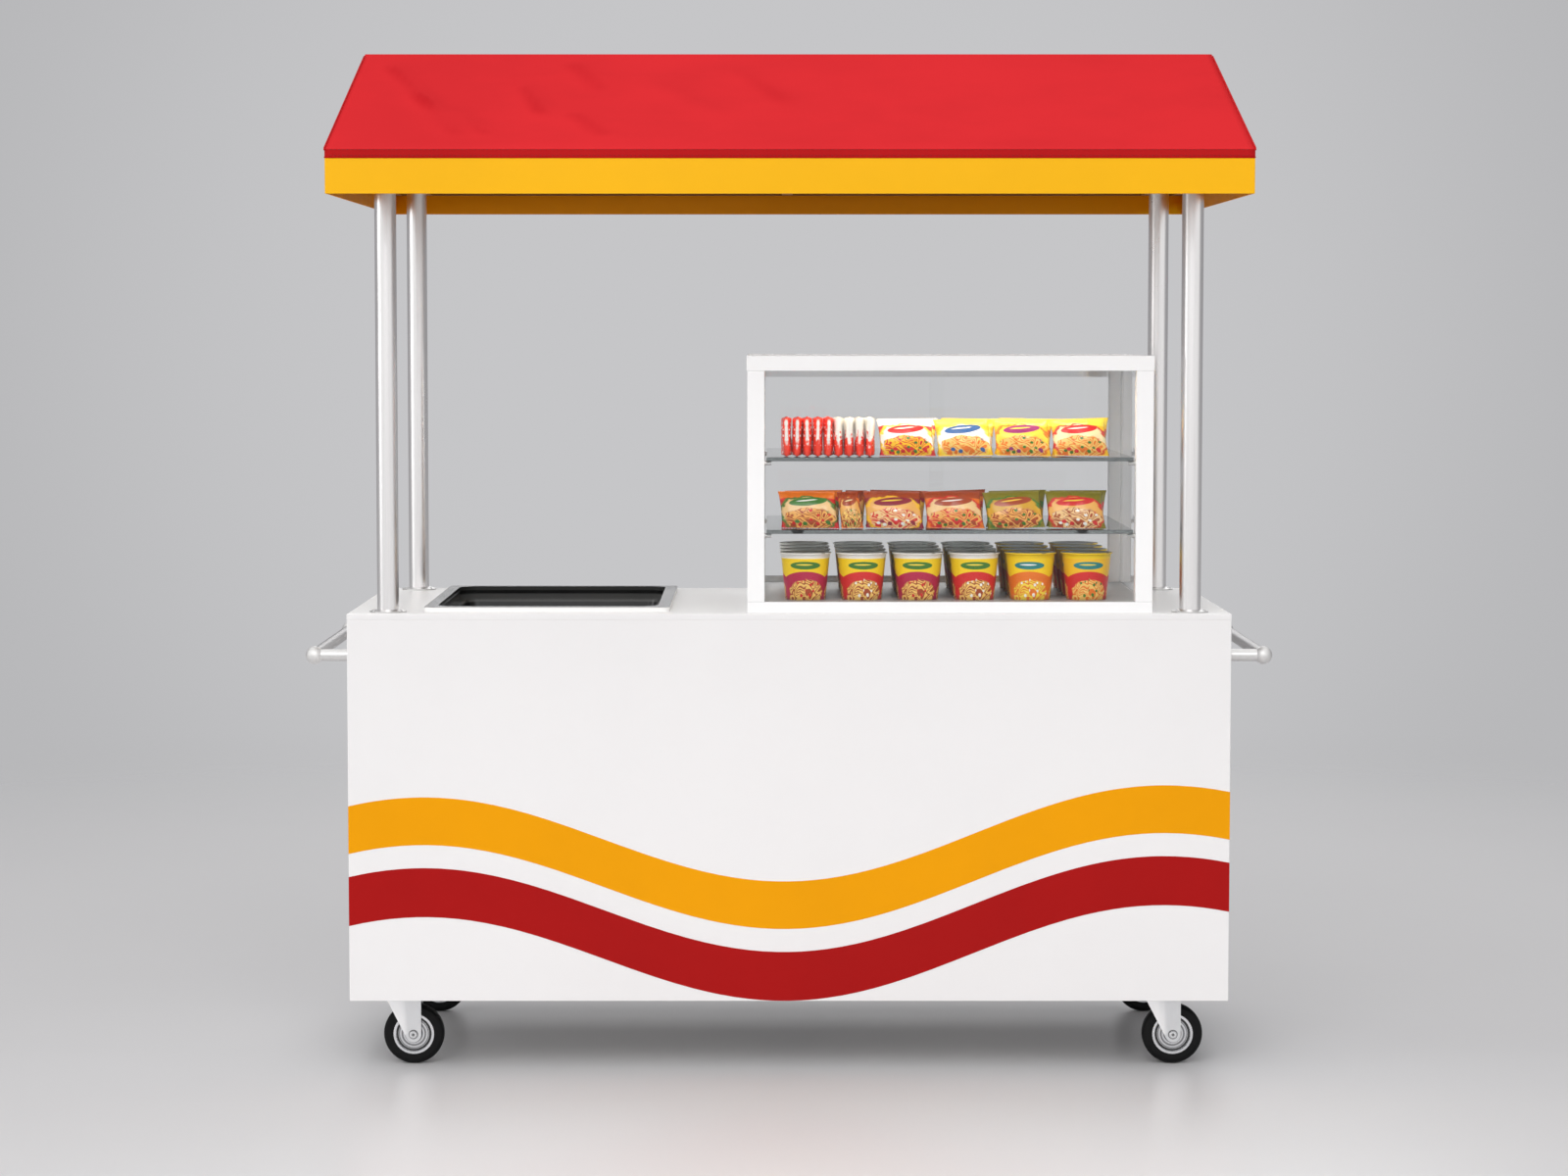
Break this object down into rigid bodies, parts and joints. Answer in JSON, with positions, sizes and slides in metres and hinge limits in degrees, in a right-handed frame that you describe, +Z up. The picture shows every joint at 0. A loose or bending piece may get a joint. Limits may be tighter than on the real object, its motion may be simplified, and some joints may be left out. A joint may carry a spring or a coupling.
{
  "type": "food cart",
  "caption": "Street food cart: white cabinet on swivel casters, counter with sunk pan and glazed display case, red cloth canopy on steel posts.",
  "frame": {"origin": "on the floor, under the middle of the cart", "axes": "+Z up, +X along the cart to the customer's right, -Y towards the customer"},
  "size_m": [1.9829, 1.26, 2.098],
  "materials": {
    "white_laminate": "white satin laminate on board",
    "inner_board": "white melamine on board",
    "counter_white": "white satin solid surface",
    "frame_paint": "grey powder coat on square tube",
    "yellow_film": "golden yellow vinyl film",
    "red_film": "dark red vinyl film",
    "stainless": "satin stainless steel",
    "black_enamel": "black enamel on sheet steel",
    "fascia_yellow": "yellow satin paint on sheet",
    "canopy_cloth": "red coated canopy cloth",
    "case_white": "white lacquered timber",
    "case_glass": "clear glass",
    "shelf_glass": "clear glass with green-grey edges",
    "track_aluminium": "anodised aluminium",
    "lamp_diffuser": "opal lamp diffuser",
    "hinge_steel": "zinc-plated steel",
    "catch_plastic": "white moulded catch",
    "zinc_steel": "bright zinc-plated steel",
    "rim_steel": "grey enamelled pressed steel",
    "tyre_rubber": "black rubber",
    "upper_pack_film": "plain coloured pack film",
    "middle_pack_film": "plain coloured pack film",
    "cup_paper": "plain coloured paper cup"
  },
  "bodies": {
    "cart": {"front_panel": "white_laminate", "left_panel": "white_laminate", "right_panel": "white_laminate", "floor_panel": "inner_board", "inner_shelf": "inner_board", "counter_top": "counter_white", "base_frame": "frame_paint", "cabinet_frame": "frame_paint", "canopy_frame": "frame_paint", "yellow_stripe": "yellow_film", "red_stripe": "red_film", "well_rim": "stainless", "canopy_posts": "stainless", "post_flanges": "stainless", "canopy_sockets": "stainless", "left_handle_bar": "stainless", "right_handle_bar": "stainless", "handle_balls": "stainless", "handle_brackets": "stainless", "shelf_pegs": "stainless", "well_tub": "black_enamel", "fascia": "fascia_yellow", "roof_cover": "canopy_cloth", "case_base": "case_white", "case_posts": "case_white", "case_top": "case_white", "case_front_glass": "case_glass", "case_side_glass": "case_glass", "case_shelves": "shelf_glass", "door_tracks": "track_aluminium", "case_light": "lamp_diffuser", "hinge_plates": "hinge_steel", "door_catches": "catch_plastic", "caster_plates": "zinc_steel", "upper_packs": "upper_pack_film", "middle_packs": "middle_pack_film", "noodle_cups": "cup_paper"},
    "left_door": {"left_door": "white_laminate", "left_hinge_leaves": "hinge_steel", "left_door_pull": "stainless"},
    "right_door": {"right_door": "white_laminate", "right_hinge_leaves": "hinge_steel", "right_door_pull": "stainless"},
    "left_slider": {"left_slider": "case_glass", "left_slider_pull": "track_aluminium"},
    "right_slider": {"right_slider": "case_glass", "right_slider_pull": "track_aluminium"},
    "front_left_swivel": {"front_left_fork": "zinc_steel"},
    "front_left_wheel": {"front_left_rim": "rim_steel", "front_left_tyre": "tyre_rubber"},
    "front_right_swivel": {"front_right_fork": "zinc_steel"},
    "front_right_wheel": {"front_right_rim": "rim_steel", "front_right_tyre": "tyre_rubber"},
    "rear_left_swivel": {"rear_left_fork": "zinc_steel"},
    "rear_left_wheel": {"rear_left_rim": "rim_steel", "rear_left_tyre": "tyre_rubber"},
    "rear_right_swivel": {"rear_right_fork": "zinc_steel"},
    "rear_right_wheel": {"rear_right_rim": "rim_steel", "rear_right_tyre": "tyre_rubber"}
  },
  "joints": [
    {"name": "left_door_hinge", "type": "hinge", "parent": "cart", "child": "left_door", "pos_m": [-0.8835, 0.379, 0.536], "axis": [0, 0, 1], "range_deg": [0, 110]},
    {"name": "right_door_hinge", "type": "hinge", "parent": "cart", "child": "right_door", "pos_m": [0.8835, 0.379, 0.536], "axis": [0, 0, -1], "range_deg": [0, 110]},
    {"name": "left_slider_slide", "type": "slide", "parent": "cart", "child": "left_slider", "axis": [1, 0, 0], "range_m": [0, 0.36]},
    {"name": "right_slider_slide", "type": "slide", "parent": "cart", "child": "right_slider", "axis": [-1, 0, 0], "range_m": [0, 0.36]},
    {"name": "front_left_swivel_turn", "type": "hinge", "parent": "cart", "child": "front_left_swivel", "pos_m": [-0.785, -0.29, 0.146], "axis": [0, 0, 1], "continuous": true},
    {"name": "front_left_wheel_spin", "type": "hinge", "parent": "front_left_swivel", "child": "front_left_wheel", "pos_m": [-0.776, -0.29, 0.0625], "axis": [0, 1, 0], "continuous": true},
    {"name": "front_right_swivel_turn", "type": "hinge", "parent": "cart", "child": "front_right_swivel", "pos_m": [0.785, -0.29, 0.146], "axis": [0, 0, 1], "continuous": true},
    {"name": "front_right_wheel_spin", "type": "hinge", "parent": "front_right_swivel", "child": "front_right_wheel", "pos_m": [0.794, -0.29, 0.0625], "axis": [0, 1, 0], "continuous": true},
    {"name": "rear_left_swivel_turn", "type": "hinge", "parent": "cart", "child": "rear_left_swivel", "pos_m": [-0.785, 0.29, 0.146], "axis": [0, 0, 1], "continuous": true},
    {"name": "rear_left_wheel_spin", "type": "hinge", "parent": "rear_left_swivel", "child": "rear_left_wheel", "pos_m": [-0.776, 0.29, 0.0625], "axis": [0, 1, 0], "continuous": true},
    {"name": "rear_right_swivel_turn", "type": "hinge", "parent": "cart", "child": "rear_right_swivel", "pos_m": [0.785, 0.29, 0.146], "axis": [0, 0, 1], "continuous": true},
    {"name": "rear_right_wheel_spin", "type": "hinge", "parent": "rear_right_swivel", "child": "rear_right_wheel", "pos_m": [0.794, 0.29, 0.0625], "axis": [0, 1, 0], "continuous": true}
  ]
}
